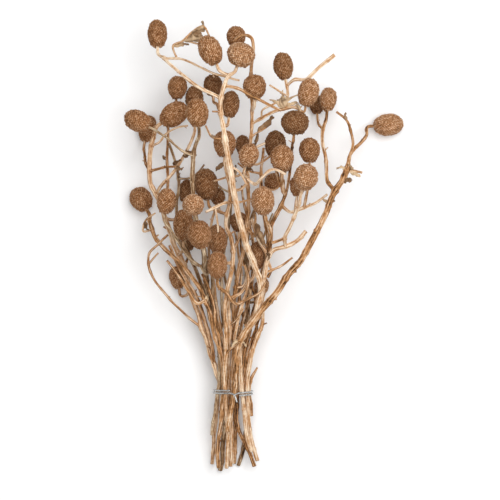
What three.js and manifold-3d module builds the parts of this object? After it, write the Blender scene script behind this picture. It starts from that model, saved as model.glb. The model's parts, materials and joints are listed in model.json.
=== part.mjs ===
// A wire-tied bundle of dried branching stems that carry textured globe seed heads.
// It lies on a table: +X is across the bundle, +Y runs up the stems from the tie, +Z is up from the table.
// Millimetres. Every stem and every seed head is one grown piece; the wire loop holds them together.
import * as THREE from "three";
import { mergeVertices } from "three/addons/utils/BufferGeometryUtils.js";
import Module from "manifold-3d";

const wasm = await Module();
wasm.setup();

// ---- driving sizes ----
const SPRAY_LENGTH = 368; // tie to the top of the highest head
const SPRAY_WIDTH = 276; // across the spray, from the outermost heads
const SPRAY_DEPTH = 132; // how high the spray stands off the table
const BUTT_LENGTH = 84; // tie to the cut end of the longest stem
const HEAD_SCALE = 1; // size of the seed heads against the list below
const STEM_SCALE = 1; // thickness of the stems against the list below
const WIRE_DIAMETER = 1.7;
const CLEARANCE = 0.35; // gap kept between neighbouring pieces
const RING_SPACING = 13; // distance between the rings of a stem's mesh
const MAIN_SIDES = 6;
const TWIG_SIDES = 5;
const HEAD_SIDES = 9;

// The lists below are drawn at these sizes and stretched to the driving ones.
const DRAWN = { length: 368, width: 276, depth: 132, butt: 84 };

// ---- seed heads ----
// name: [x, y, z of the middle, width, length, x, y, z of the axis from stalk to tip]
const HEADS = {
  1: [-76, 354.5, 64, 19.5, 27, -0.03, 0.95, -0.3],
  2: [-23.5, 334.5, 118, 22, 28, -0.42, 0.9, 0.1],
  3: [1.5, 350, 84, 19, 19, 0, 1, -0.1],
  4: [6.7, 330, 122, 28, 21, 0.34, 0.92, 0.2],
  5: [-21.3, 303.5, 70, 19, 19.5, -0.05, 0.95, -0.3],
  6: [19.5, 300, 106, 23, 22, 0, 0.95, 0.3],
  7: [47.4, 321.7, 84, 19.5, 25, -0.15, 0.97, -0.1],
  8: [-55.8, 300, 70, 19.5, 21, 0.1, 0.9, 0.4],
  9: [-40, 291, 62, 18, 24, 0, 1, -0.1],
  10: [-58.8, 277.8, 57, 23, 28, 0.82, 0.57, 0.15],
  11: [-35, 274.5, 116, 22, 26, -0.1, 0.95, 0.25],
  12: [-95.5, 268.5, 66, 21, 26, -0.82, 0.43, -0.3],
  13: [-87.5, 264.5, 9.3, 18, 25, 0.2, 0.97, -0.1],
  14: [-4, 284, 88, 18, 25, 0.1, 0.97, -0.2],
  15: [71.5, 294.5, 108, 20.5, 26, 0.2, 0.93, 0.3],
  16: [82, 288, 8, 15, 17, -0.05, 0.98, -0.15],
  17: [93, 292, 32, 17, 22, 0.1, 0.98, -0.1],
  18: [59.7, 265.5, 108, 27.5, 21, 0.1, 0.98, 0.15],
  19: [154.5, 267, 11.5, 22.5, 28, 1, 0.09, -0.08],
  20: [-9.5, 246, 80, 22, 24, 0, 0.98, 0.1],
  21: [8, 246, 36, 14.5, 19, 0, 0.9, -0.35],
  22: [14, 234, 98, 20, 21, 0.25, 0.88, 0.4],
  23: [41, 246, 56, 21, 26, 0, 1, 0.05],
  24: [47.7, 231.5, 88, 23, 25, 0, 0.92, 0.35],
  25: [73.5, 239.8, 80, 20.5, 22.5, 0, 0.96, 0.2],
  26: [38, 210.5, 8.2, 16, 16, 0.55, 0.83, 0],
  27: [67.5, 212.5, 104, 24, 24, 0.25, 0.9, 0.35],
  "27b": [59.5, 205.5, 68, 16, 19, 0.1, 0.98, 0],
  28: [-28, 207, 56, 24, 29, -0.12, 0.99, 0],
  "28b": [-17, 195, 30, 15, 16, -0.1, 0.9, -0.4],
  29: [-48.5, 201, 14, 16, 21, 0.1, 0.95, -0.2],
  30: [-94, 193, 11.5, 22.5, 23, -0.45, 0.87, -0.2],
  31: [-66.5, 189.5, 88, 19, 23, 0.1, 0.99, 0.05],
  32: [-39.6, 185, 118, 21, 26, -0.05, 0.15, 0.98],
  33: [-50, 166.5, 68, 20, 29, 0, 0.96, 0.25],
  34: [-34.5, 157, 102, 23.5, 26, -0.22, 0.9, 0.3],
  35: [-17, 152, 64, 19, 28, -0.1, 0.99, 0.1],
  36: [-47, 149, 10, 14, 15, 0, 0.98, -0.2],
  37: [27, 190, 96, 23, 26, -0.15, 0.94, 0.3],
  38: [4, 170, 45, 17.5, 18, 0, 1, -0.1],
  39: [22.5, 136, 46, 17, 27, 0.12, 0.99, 0],
  40: [-17.5, 127.5, 72, 20, 25, 0, 0.98, 0.15],
  41: [-57.5, 114.5, 10, 17, 21, -0.15, 0.98, -0.1],
  42: [27, 105, 8.5, 14, 17, 0.35, 0.94, -0.1],
};
const RESTING_HEADS = ["13", "16", "19", "26", "30", "41"]; // these lie on the table

// ---- stems ----
// r: radius at the start, sometimes half way, and at the end; route: points x, y, z from the cut end up; head: the head it carries.
// A twig starts at the nearest place on the stem it grows from, and its own twigs follow it.
const STEMS = {
  stem_right_outer: {
    r: [2.4, 3.6, 3.2],
    route: [
      [-7.7, -38.5, 38], [-6, -28, 40], [-3.6, -13, 43], [-0.8, 0, 45], [1.4, 14, 48], [1.4, 30, 51],
      [1.8, 42, 53.5], [6, 52, 55], [13.3, 65, 57], [22.5, 77, 59], [33.6, 90, 60], [43.4, 103, 61],
      [54, 118.5, 62], [66, 133, 62], [74, 148, 62], [80, 158, 62], [86.7, 171.5, 61], [93, 184, 59],
      [95.2, 194, 57], [99, 202, 56], [107.6, 211.5, 54], [112, 221, 53],
    ],
    twigs: [
      { r: [2.9, 2.1], route: [[2.6, 15, 51], [3.3, 27, 54]] },
      {
        r: [2.1, 1.7], head: 19,
        route: [
          [110.5, 231, 47], [113.5, 236, 43], [118, 241, 38], [127.6, 250.7, 29], [133, 258, 20],
        ],
      },
      {
        r: [1.8, 1.3],
        route: [
          [115, 229, 50], [117.2, 240, 44], [116.5, 250, 39], [115, 262, 35], [110, 272, 33], [101, 279, 33],
        ],
      },
      {
        r: [2.1, 1.7], head: 17,
        route: [
          [94, 200, 55], [92, 210, 52], [91, 220, 49], [90, 230, 46], [88, 243, 43], [85.6, 256, 40],
          [87, 265, 38],
        ],
      },
      { r: [1.6, 1.3], head: 16, route: [[84.5, 262, 30], [83.5, 270, 20]] },
      { r: [2.1, 1.3], route: [[119, 219, 52], [126, 218, 50]] },
    ],
  },
  stem_centre_main: {
    r: [2.2, 3.4, 2.8],
    route: [
      [17, -59, 27], [12.6, -47, 29], [10, -24, 33], [8.6, -11, 36], [7, 0, 38.5], [6, 10, 40],
      [5, 25, 42], [5, 45, 44], [8, 56, 46], [13, 64, 48], [17, 72, 50], [22, 82, 53], [24.5, 92, 56],
      [26, 105, 60], [24, 115, 64], [18, 130, 70], [12, 146, 76], [8, 160, 81], [4, 174, 86],
      [1, 190, 92], [-1, 200, 95], [-3, 215, 99], [-6, 230, 102], [-9, 250, 106], [-11.3, 266, 108],
      [-14.3, 284, 111], [-12, 296, 113], [-7, 305, 115], [-6, 312, 117],
    ],
    twigs: [
      { r: [2.1, 1.7], head: 2, route: [[-11, 314, 117]] },
      { r: [2.1, 1.7], head: 4, route: [[-3, 314.5, 118]] },
      {
        r: [2.1, 1.6], head: 1,
        route: [
          [-22, 292.5, 110], [-33, 298.5, 107], [-40, 303, 103], [-50, 311.5, 96], [-58, 318, 90],
          [-65, 325, 84], [-71.5, 332, 76],
        ],
      },
      {
        r: [1.3, 1.2],
        route: [
          [-60, 330, 82], [-50, 327.5, 88], [-36, 320.5, 94], [-20, 313, 98], [-8, 309, 99], [5, 306, 98],
        ],
      },
      {
        r: [1.3, 1],
        route: [
          [-60, 340, 80], [-52, 343, 84], [-45, 349, 88], [-38, 357, 90], [-31, 359.5, 90],
          [-25, 356, 90], [-24.5, 350, 90],
        ],
      },
      { r: [1.2, 1], route: [[-43, 345, 88], [-33, 341.5, 90]] },
      {
        r: [1.8, 1.4],
        route: [[0, 298.6, 116], [8, 294.7, 119], [24, 286, 122], [35, 280, 123], [45, 275.5, 124]],
      },
      { r: [1.3, 1], route: [[-18, 280, 115], [-21, 275, 118]] },
      { r: [1.8, 1.6], head: 14, route: [[-9, 264, 101]] },
      { r: [1.8, 1.6], head: 5, route: [[-15, 279, 98], [-18, 285, 84]] },
      { r: [1.3, 1], route: [[3, 220, 98], [7, 213, 96], [12, 205, 94]] },
      { r: [1.3, 1], route: [[-15, 248, 104], [-21, 250, 104], [-25.4, 258, 104], [-28, 262, 103]] },
    ],
  },
  stem_centre_top: {
    r: [2.4, 2.3, 1.7],
    route: [
      [-0.5, -73, 2.6], [0.9, -47, 8], [1, -25, 15], [-1, 0, 22], [0, 30, 27], [0, 60, 31], [0, 90, 35],
      [3.5, 115, 40], [8, 135, 46], [11.5, 150, 54], [12.5, 165, 59], [14, 190, 62], [13, 215, 67],
      [14, 243, 74], [16, 258, 78], [17.3, 272, 82], [17, 289, 86], [15.6, 306, 90], [16.2, 319, 94],
      [17.9, 332, 99], [18.6, 343, 102], [19, 351, 103],
    ],
    twigs: [
      { r: [1.3, 1], route: [[13, 352.3, 104], [6, 348, 104], [-1.5, 343.5, 104]] },
      { r: [1.6, 1.3], head: 3, route: [[13, 333, 94], [7, 333, 88]] },
      { r: [1.7, 1.4], head: 22, route: [[11, 207, 76], [10.5, 214, 84]] },
      { r: [1.7, 1.4], head: 21, route: [[11.5, 224, 60], [9, 229, 51]] },
      { r: [1.7, 1.4], head: 6, route: [[20, 280, 91]] },
      { r: [1.2, 1], route: [[22, 256, 80], [31, 261, 84]] },
      {
        r: [1.8, 1.6], head: 7,
        route: [
          [22, 267, 85], [30, 272.5, 89], [40, 277, 93], [49, 280, 95], [53, 288, 94], [51.5, 298, 89],
        ],
      },
      { r: [1.7, 1.4], head: 15, route: [[58, 280, 99]] },
      {
        r: [1.8, 2.2],
        route: [[55, 305, 92], [61, 308.3, 95], [70, 307.5, 97], [78, 315, 99], [87.6, 323, 102], [97, 330.5, 104]],
      },
      { r: [1.2, 1], route: [[46.5, 293, 102], [40, 299.3, 106], [34, 300.8, 109]] },
      { r: [1.2, 1], route: [[23, 271, 93], [31, 281, 99], [40, 284, 102]] },
      {
        r: [2.2, 1.3],
        route: [[17, 204, 78], [22, 208, 88], [30, 215, 95], [38, 220, 98], [45, 218.5, 99], [50, 215, 98]],
      },
      { r: [1.7, 1.3], route: [[18, 156, 62], [20.5, 166, 70], [20.5, 177, 78]] },
      { r: [1.7, 1.3], route: [[21, 242, 76], [30, 246, 78]] },
      { r: [1.7, 1.2], route: [[6, 100, 38], [12, 112, 42], [16, 125, 48], [17, 140, 54]] },
      {
        r: [1.8, 1.9, 1.2],
        route: [
          [3, 50, 24], [8, 70, 23], [14, 90, 22], [18, 115, 22], [19, 140, 24], [16, 162, 28], [9, 188, 36],
          [7, 205, 44],
        ],
      },
      { r: [1.4, 1.1], route: [[24, 226, 62], [33, 232, 64], [42, 241, 68]] },
    ],
  },
  stem_mid_right: {
    r: [2.2, 2.3],
    route: [
      [19.8, -75, 14], [15.3, -63, 16], [10.7, -52, 18], [6, -43, 21], [2.2, -31, 24], [2, -10, 28],
      [3.5, 0, 30], [6, 20, 32], [10, 45, 33], [16, 70, 34], [23, 95, 36], [29, 118, 38], [34, 140, 42],
      [37, 157, 48], [36.5, 166, 52], [42, 177, 57], [47, 186, 61], [48, 198, 66],
    ],
    twigs: [
      { r: [2.3, 2], head: 24, route: [[48.5, 206, 70]] },
      {
        r: [1.6, 1.4], head: 18,
        route: [[51, 190, 64], [53, 200, 66], [54, 211, 68], [55.5, 225, 70], [56.5, 238, 80]],
      },
      { r: [1.8, 1.6], head: 23, route: [[46, 206, 62], [43, 216, 55]] },
      {
        r: [2, 1.4],
        route: [
          [53, 179.4, 55], [65, 180.7, 52], [74, 184.6, 49], [83.4, 190, 46], [92, 196.5, 44],
        ],
      },
      { r: [1.7, 1.4], head: 25, route: [[70, 190, 56], [72.5, 203, 64], [73.5, 216, 72]] },
      {
        r: [1.8, 2, 1.5],
        route: [
          [3, -15, 22], [4, 0, 24.5], [7, 25, 26], [13, 50, 27], [18, 75, 28], [22, 95, 29], [26, 115, 30],
          [30, 135, 32], [33, 150, 36], [31, 165, 40], [28, 180, 44], [27, 195, 50], [25, 210, 56],
          [27, 226, 60], [28.5, 242, 62],
        ],
      },
      { r: [1.3, 1], route: [[33, 199, 54], [40, 202, 57], [49, 209, 58]] },
      { r: [1.3, 1], route: [[19, 217, 60], [11, 221, 62], [3, 227, 62]] },
    ],
  },
  stem_right_inner: {
    r: [2.4, 2.3],
    route: [
      [22.5, -69, 18], [20.5, -62, 19], [17.2, -53, 21], [14, -31, 26], [12.6, -14, 30], [12.5, 0, 33],
      [12.6, 12, 35], [15, 28, 37], [19, 46.5, 40], [24, 58, 42.5], [27.6, 70, 44.5], [27.4, 92, 48],
      [28, 112, 50], [31, 130, 53], [36, 141, 55], [46.7, 142, 56], [56.5, 146.7, 58], [69.5, 160, 61],
    ],
    twigs: [
      {
        r: [2, 1.7], head: 27,
        route: [[45, 150, 63], [50.5, 160, 70], [56, 173, 79], [60.5, 184, 87]],
      },
      { r: [1.6, 1.3], head: "27b", route: [[57, 181, 73]] },
      {
        r: [1.6, 1.2],
        route: [[21, 62, 36], [22, 80, 31], [19, 100, 29], [12, 120, 29], [7, 140, 31], [6, 160, 34]],
      },
      { r: [1.5, 1.1], route: [[33, 118, 44], [40, 124, 42], [49, 127, 41], [57, 134, 42]] },
      { r: [2, 1.7], head: 37, route: [[35.6, 149, 64], [34.5, 159, 75], [32, 168, 84]] },
      {
        r: [1.8, 2.1, 1.6],
        route: [
          [13, -35, 22], [9.5, -15, 27], [8.2, 0, 30], [10, 20, 32], [14, 40, 34], [19, 60, 36], [24, 78, 38],
          [27, 95, 39], [31, 110, 40], [33, 125, 43], [30, 138, 47], [24, 148, 52], [19, 160, 58], [16, 172, 66],
        ],
      },
    ],
  },
  stem_left_outer: {
    r: [2.1, 2.7, 2.5],
    route: [
      [-22.7, -73, 9], [-20.8, -47, 15], [-18.6, -24, 22], [-17.2, 0, 27], [-19.5, 20, 27],
      [-22, 30, 27], [-25.4, 41, 27.5], [-28.6, 53, 28], [-34.5, 73, 29], [-38.4, 83, 30],
      [-43, 97, 31], [-47, 112, 32], [-49.6, 124, 33], [-56, 137, 34], [-62.7, 153, 36],
      [-68, 169, 38], [-73.8, 183, 39], [-78.4, 197, 41], [-84, 210, 43], [-84.3, 230, 45],
      [-83.7, 244, 47], [-79.7, 258, 50],
    ],
    twigs: [
      { r: [2.3, 2.1], head: 10, route: [[-76, 264, 52.5]] },
      {
        r: [1.4, 1.3],
        route: [
          [-32, 60, 31], [-43.7, 72, 33], [-56.8, 85, 34], [-73, 103, 36], [-81, 114.6, 38], [-89, 130, 41],
          [-86.3, 136, 44], [-77, 146, 48], [-66, 156.5, 51],
        ],
      },
      { r: [1.2, 1], route: [[-81.7, 129.7, 43], [-75.8, 138.5, 45]] },
      { r: [1.7, 1.4], head: 13, route: [[-88, 227, 35], [-89.5, 235, 24], [-90.5, 243, 15]] },
      { r: [1.3, 1], route: [[-77, 247, 53], [-70, 255, 61], [-58, 263, 68], [-46, 265, 72]] },
      { r: [1.6, 1.2], route: [[-77, 222, 52], [-68, 223.8, 58], [-57, 224.3, 64]] },
      {
        r: [1.8, 1.6], head: 9,
        route: [
          [-74, 203.5, 49], [-66, 212, 55], [-59.4, 220, 60], [-50, 234, 66], [-43.7, 246, 70],
          [-40, 256, 71], [-39.5, 268, 68],
        ],
      },
      { r: [1.7, 1.4], head: 29, route: [[-60, 172, 32], [-53, 182, 22]] },
      { r: [1.7, 1.4], head: 41, route: [[-50, 96, 22]] },
      { r: [1.7, 1.4], head: 33, route: [[-52, 140, 47]] },
      { r: [1.6, 1.3], head: 36, route: [[-48, 130, 24]] },
      {
        r: [1.7, 1.4], head: 8,
        route: [
          [-68, 190, 32], [-67, 205, 30], [-67, 222, 30], [-67, 239, 32], [-66.5, 255, 34],
          [-64.5, 270, 38], [-60, 281, 50],
        ],
      },
      {
        r: [1.9, 2.3, 1.7],
        route: [
          [-19, -40, 20], [-16.8, -15, 27], [-14.6, 0, 30], [-17.5, 20, 31.5], [-21.5, 40, 33], [-26, 58, 34],
          [-30.5, 74, 35.5], [-35, 88, 38], [-42, 102, 39], [-50, 115, 40], [-57, 127, 41], [-65, 146, 44],
        ],
      },
    ],
  },
  stem_left_low: {
    r: [2.1, 2.5, 2.2],
    route: [
      [-16.2, -76, 20], [-17.5, -63, 23], [-14.6, -34, 29], [-14, -15, 33], [-12.5, 0, 36],
      [-12, 20, 38], [-13, 38, 40], [-16.8, 47, 41], [-21, 60, 42], [-23.2, 76, 44], [-27, 87, 46],
      [-31, 98, 46], [-37, 108, 46], [-45, 118, 45], [-58, 133, 44], [-69, 142.7, 42],
      [-77, 151, 38], [-82.7, 163, 31],
    ],
    twigs: [
      { r: [2.2, 2], head: 30, route: [[-85, 170, 24]] },
      {
        r: [1.3, 1],
        route: [[-86, 160.5, 38], [-93.5, 162, 41], [-91, 168.5, 42], [-84, 173, 43], [-78.4, 178, 46]],
      },
      {
        r: [2.1, 1.4],
        route: [
          [-34.5, 86.5, 52], [-43.7, 97.6, 50], [-51.5, 108.7, 43], [-56.8, 118.5, 38], [-64, 124, 39],
          [-67, 131, 41],
        ],
      },
      {
        r: [1.8, 2.1, 1.6],
        route: [
          [-14, -40, 28], [-10.5, -15, 34], [-8, 0, 36.5], [-9, 20, 39], [-12, 38, 42], [-15, 52, 45],
          [-18, 66, 47], [-20, 80, 49], [-22, 93, 50], [-26, 105, 50], [-32, 118, 51],
        ],
      },
    ],
  },
  stem_left_grey: {
    r: [2.5, 3.5, 2.2],
    route: [
      [-14.8, -80, 2.8], [-12.5, -66, 6], [-11.6, -40, 13], [-10.2, -14, 21], [-11.8, 0, 24],
      [-12, 25, 26], [-15, 45, 28], [-20, 62, 31], [-23.5, 76, 34], [-26, 92, 38], [-28, 110, 44],
      [-29, 126, 50], [-31, 142, 55], [-34, 156, 60], [-37.5, 170, 65], [-39.5, 185, 70],
      [-40.5, 200, 73], [-41, 216, 80], [-39.8, 232, 88], [-37, 245, 96],
    ],
    twigs: [
      { r: [2.1, 1.8], head: 11, route: [[-35, 251, 101]] },
      { r: [1.7, 1.4], head: 32, route: [[-39.3, 180, 80]] },
      { r: [1.9, 1.6], head: 34, route: [[-30, 125, 62], [-30, 130, 74]] },
      {
        r: [1.7, 1.4], head: 31,
        route: [[-34, 122, 50], [-43, 131, 58], [-52, 143, 68], [-60, 157, 79]],
      },
      {
        r: [1.3, 1.2], head: 12,
        route: [
          [-42.5, 234, 95], [-51, 237.7, 97], [-57.5, 243, 94], [-66, 251, 89], [-75, 257, 80],
        ],
      },
      {
        r: [1.9, 2.2, 1.5],
        route: [
          [-9, -40, 11], [-6.8, -20, 17], [-6.3, 0, 20.5], [-8, 25, 23], [-14, 50, 25], [-21, 75, 27],
          [-28, 95, 28], [-36, 115, 29], [-44, 135, 29], [-51, 152, 27], [-56, 170, 25], [-58, 188, 24],
          [-55, 206, 27], [-57, 222, 32], [-61, 236, 37], [-65, 247, 42],
        ],
      },
      { r: [1.2, 1], route: [[-48, 212, 32], [-38, 217, 38], [-30, 226, 42]] },
      { r: [1.4, 1.1], route: [[-44, 134, 47], [-50, 143, 50], [-56, 152, 52]] },
      {
        r: [1.8, 1.3],
        route: [[-12.5, 60, 25], [-13, 85, 23], [-13, 105, 23], [-14, 125, 25], [-15, 145, 29], [-18, 163, 36]],
      },
    ],
  },
  stem_left_thin: {
    r: [1.8, 1.7],
    route: [
      [-23.2, -43, 25], [-21.4, -27, 28], [-19.2, -13, 31], [-17, 0, 32.5], [-15.5, 20, 32],
      [-15.8, 41, 33], [-17.5, 60, 35], [-19, 76, 38], [-20.5, 92, 42], [-21, 108, 46],
      [-20.5, 122, 50], [-18, 136, 54],
    ],
    twigs: [{ r: [1.4, 1.1], route: [[-27, 118, 60], [-32, 127, 66]] }],
  },
  stem_front_left: {
    r: [2.1, 2.3, 2.2],
    route: [
      [-8.3, -76, 27], [-7, -43.5, 34], [-8.5, -20, 38.5], [-9, 0, 42], [-10.2, 20, 45],
      [-9, 43, 49], [-8.6, 60, 51.5], [-9.6, 79, 54], [-8.4, 94, 57], [-6, 110, 58],
      [-1.8, 123, 58], [-0.6, 141, 59], [-3, 152, 60], [-8, 163, 64], [-9, 174, 68],
      [-4, 184, 72], [-3, 196, 74], [-7, 213, 76],
    ],
    twigs: [
      { r: [2, 1.7], head: 20, route: [[-9, 224, 78]] },
      { r: [1.7, 1.4], head: 35, route: [[-9, 133, 60]] },
      { r: [1.7, 1.4], head: 38, route: [[2, 147, 52]] },
      { r: [1.7, 1.4], head: 28, route: [[-17, 179, 60]] },
      { r: [1.6, 1.3], head: "28b", route: [[-13, 179, 48]] },
      { r: [1.9, 1.4], route: [[-10, 187, 82], [-19, 183.5, 86], [-28, 178.5, 88]] },
      { r: [1.9, 1.6], route: [[2, 199, 78], [8, 203, 82], [13, 207, 84]] },
      { r: [1.4, 1], route: [[4, 188, 78], [12, 190, 80], [19, 192, 80]] },
      { r: [1.3, 1], route: [[-4, 44, 54], [5.4, 51, 62]] },
      {
        r: [1.8, 1.9, 1.6],
        route: [
          [-6, -45, 31], [-4, -20, 34], [-3, 0, 37], [-3, 20, 40], [-2.5, 40, 43], [-0.5, 56, 45],
          [2, 70, 46], [5, 83, 47], [7, 93, 49], [11.5, 103, 50], [13, 114, 53], [9, 127, 54],
        ],
      },
      { r: [2, 1.7], head: 40, route: [[3, 84, 52], [-2, 91, 57], [-8, 98, 61]] },
      { r: [1.6, 1.3], route: [[8, 93, 54], [16, 95, 58], [25, 101, 60], [30, 110, 61]] },
      { r: [1.2, 1], route: [[-17, 172, 82], [-16, 159, 80]] },
      { r: [1.3, 1], route: [[-14, 209.5, 72], [-20, 209, 72]] },
      { r: [1.3, 1], route: [[3, 214, 78], [11, 219, 82]] },
    ],
  },
  stem_front_centre: {
    r: [2.1, 2.3, 1.8],
    route: [
      [-4.4, -75, 13], [-3.7, -50, 19], [-4.5, -24, 26], [-6.5, 0, 30.5], [-6, 25, 34], [-5, 50, 37.5],
      [-4.4, 73, 41], [-5.6, 89, 44], [-1, 96, 45], [8, 100, 45], [15, 109, 45],
    ],
    twigs: [
      { r: [1.8, 1.6], head: 39, route: [] },
      { r: [1.2, 1], route: [[-1, 68, 44], [5, 76, 48], [10, 84, 49]] },
      { r: [1.7, 1.2], route: [[-2, 60, 34], [2, 80, 35], [5, 100, 36], [6, 120, 37], [3, 140, 40], [0, 160, 44]] },
      {
        r: [1.8, 1.9, 1.4],
        route: [
          [-5, -40, 18], [-5, -15, 22], [-4.6, 0, 25.5], [-7, 25, 27], [-12, 50, 28], [-17, 75, 30],
          [-20, 95, 33], [-22, 112, 37], [-25, 130, 41], [-26, 148, 43], [-24, 165, 45], [-20, 180, 50],
        ],
      },
    ],
  },
  stem_back: {
    r: [2.1, 2.3, 1.8],
    route: [
      [2.6, -75, 2.5], [6, -64.5, 4], [9, -50, 7], [11, -30, 12], [10, -14, 18], [8.5, 0, 22],
      [9, 25, 20], [12, 50, 18], [13, 75, 16], [12, 100, 14], [11, 125, 13], [12, 150, 12],
      [16, 172, 11], [24, 190, 10],
    ],
    twigs: [
      { r: [2, 1.7], head: 26, route: [] },
      { r: [1.6, 1.3], head: 42, route: [[19, 87, 12]] },
      { r: [1.6, 1.2], route: [[10, 60, 14], [6, 85, 12], [2, 110, 12], [-2, 135, 14], [-5, 158, 18]] },
      { r: [1.5, 1.1], route: [[14, 120, 8], [22, 140, 8], [31, 160, 10], [38, 178, 12]] },
      {
        r: [1.9, 1.3],
        route: [
          [7, 45, 17], [2, 65, 17], [-3, 85, 18], [-8, 105, 19], [-12, 125, 21], [-10, 145, 24],
          [-6, 165, 28], [-4, 185, 32], [-2, 205, 36], [2, 222, 38],
        ],
      },
      { r: [1.2, 1], route: [[-8, 200, 40], [-16, 205, 44], [-24, 213, 46]] },
    ],
  },
  stem_short: {
    r: [2.3, 2],
    route: [[16.4, -24, 20], [15.6, -11, 23.5], [13.8, 0, 26.3], [13, 10, 28]],
    twigs: [{ r: [1.3, 1], route: [[15, 18, 27], [22.5, 24.5, 27]] }],
  },
};

// ---- lay out: every route becomes a chain of ring centres ----
const UP = new THREE.Vector3(0, 1, 0);
const STALK_END = 7; // straight length of stalk under a head
const rings = []; // { at, home, radius, stem, carries: the head on it, if any }
const chains = []; // { stem, sides, ids, head }
const heads = []; // { key, axis, width, length, end, before, balls }

function stretch([x, y, z]) {
  const along = y > 0 ? SPRAY_LENGTH / DRAWN.length : BUTT_LENGTH / DRAWN.butt;
  return new THREE.Vector3(
    (x * SPRAY_WIDTH) / DRAWN.width,
    y * along,
    (z * SPRAY_DEPTH) / DRAWN.depth,
  );
}

function addRing(at, radius, stem) {
  rings.push({ at: at.clone(), home: at.clone(), radius, stem });
  return rings.length - 1;
}

// The place on a stem nearest to the point; no twig grows from right under a head.
function nearestRing(point, stem) {
  let best = -1;
  rings.forEach((ring, i) => {
    if (ring.stem !== stem || ring.carries) return;
    if (best < 0 || ring.at.distanceTo(point) < rings[best].at.distanceTo(point)) best = i;
  });
  return best;
}

// The points of a smooth route at an even spacing, both ends kept.
function spaced(points) {
  const curve = new THREE.CatmullRomCurve3(points, false, "centripetal");
  const steps = Math.max(1, Math.round(curve.getLength() / RING_SPACING));
  return curve.getSpacedPoints(steps);
}

// The radius a share of the way along a stem.
function radiusOn(r, share) {
  const place = share * (r.length - 1);
  const i = Math.min(r.length - 2, Math.floor(place));
  return THREE.MathUtils.lerp(r[i], r[i + 1], place - i) * STEM_SCALE;
}

function layMainStem(stem, { r, route }) {
  const points = spaced(route.map(stretch));
  const ids = points.map((p, i) => addRing(p, radiusOn(r, i / (points.length - 1)), stem));
  chains.push({ stem, sides: MAIN_SIDES, ids, head: null });
}

function layTwig(stem, { r, route, head }) {
  const points = route.map(stretch);
  let end = null;
  let data = null;
  if (head !== undefined) {
    const [x, y, z, width, length, ax, ay, az] = HEADS[head];
    const axis = new THREE.Vector3(ax, ay, az).normalize();
    data = { key: String(head), axis, width: width * HEAD_SCALE, length: length * HEAD_SCALE };
    end = stretch([x, y, z]).addScaledVector(axis, -data.length / 2 - CLEARANCE);
    points.push(end.clone().addScaledVector(axis, -STALK_END));
  }
  const from = nearestRing(points[0], stem);
  const path = spaced([rings[from].at, ...points]);
  const count = path.length - (end ? 0 : 1);
  const radiusAt = (i) => radiusOn(r, i / count);
  const ids = [from];
  path.slice(1).forEach((p, i) => ids.push(addRing(p, radiusAt(i + 1), stem)));
  if (end) {
    data.before = ids[ids.length - 1];
    data.end = addRing(end, radiusAt(count), stem);
    rings[data.end].carries = data.key;
    ids.push(data.end);
    heads.push(data);
  }
  chains.push({ stem, sides: TWIG_SIDES, ids, head: data });
}

for (const [stem, spec] of Object.entries(STEMS)) {
  layMainStem(stem, spec);
  spec.twigs.forEach((twig) => layTwig(stem, twig));
}

// ---- settle: nudge pieces apart, mostly up or down, until nothing touches ----
const SETTLE_ROUNDS = 220;
const SETTLE_GAP = CLEARANCE + 0.15;
const TIE_ZONE = 45; // near the tie the stems pack sideways too
const HEAD_MARGIN = 0.5;
const NEAR = 9; // pairs closer than this are watched
const LONGEST_STEP = 1.5; // how far one round may push two places apart
const links = []; // { a, b, rest, stem, head: the head that rests on this end of a stalk, if any }
for (const { stem, ids, head } of chains) {
  for (let i = 1; i < ids.length; i += 1) {
    const rest = rings[ids[i]].home.clone().sub(rings[ids[i - 1]].home);
    const stalk = head && i >= ids.length - 2 ? head : null;
    links.push({ a: ids[i - 1], b: ids[i], rest, stem, head: stalk });
  }
}
// A head is watched as three balls along its axis.
for (const head of heads) {
  const { width, length } = head;
  const big = width / 2;
  const small = Math.min(0.8 * big, length / 2);
  head.balls = [
    { along: small, radius: small },
    { along: length / 2, radius: big },
    { along: length - small, radius: small },
  ];
}

function ballCentre(head, ball) {
  return rings[head.end].at.clone().addScaledVector(head.axis, CLEARANCE + ball.along);
}

function moveHead(head, shift) {
  rings[head.end].at.add(shift);
  rings[head.before].at.add(shift);
}

function closest(p1, q1, p2, q2) {
  const d1 = q1.clone().sub(p1);
  const d2 = q2.clone().sub(p2);
  const r = p1.clone().sub(p2);
  const a = d1.dot(d1);
  const e = d2.dot(d2);
  const f = d2.dot(r);
  const c = d1.dot(r);
  const b = d1.dot(d2);
  const denom = a * e - b * b;
  const clamp = (v) => Math.min(1, Math.max(0, v));
  let s = denom > 1e-9 ? clamp((b * f - c * e) / denom) : 0.5;
  let t = (b * s + f) / e;
  if (t < 0 || t > 1) {
    t = clamp(t);
    s = clamp((b * t - c) / a);
  }
  return { s, t, from: p1.clone().addScaledVector(d1, s), to: p2.clone().addScaledVector(d2, t) };
}

// How far apart two touching places must move, as a step mostly along Z.
function pushStep(from, to, wanted, lift) {
  const d = to.clone().sub(from);
  const gap = d.length();
  if (gap >= wanted) return null;
  const side = Math.abs(from.y) < TIE_ZONE ? 1 : 0.35;
  const n = gap > 1e-6 ? d.clone().divideScalar(gap) : new THREE.Vector3(0, 0, lift);
  n.x *= side;
  n.y *= side * 0.3;
  if (side < 1 && Math.abs(n.z) < 0.3) n.z = 0.5 * lift;
  n.normalize();
  const along = d.dot(n);
  const needed = -along + Math.sqrt(Math.max(0, along * along - gap * gap + wanted * wanted));
  return n.multiplyScalar(Math.min(needed, LONGEST_STEP));
}

function shiftLink(link, share, step) {
  const k = (1 - share) * (1 - share) + share * share;
  rings[link.a].at.addScaledVector(step, (1 - share) / k);
  rings[link.b].at.addScaledVector(step, share / k);
}

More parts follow.
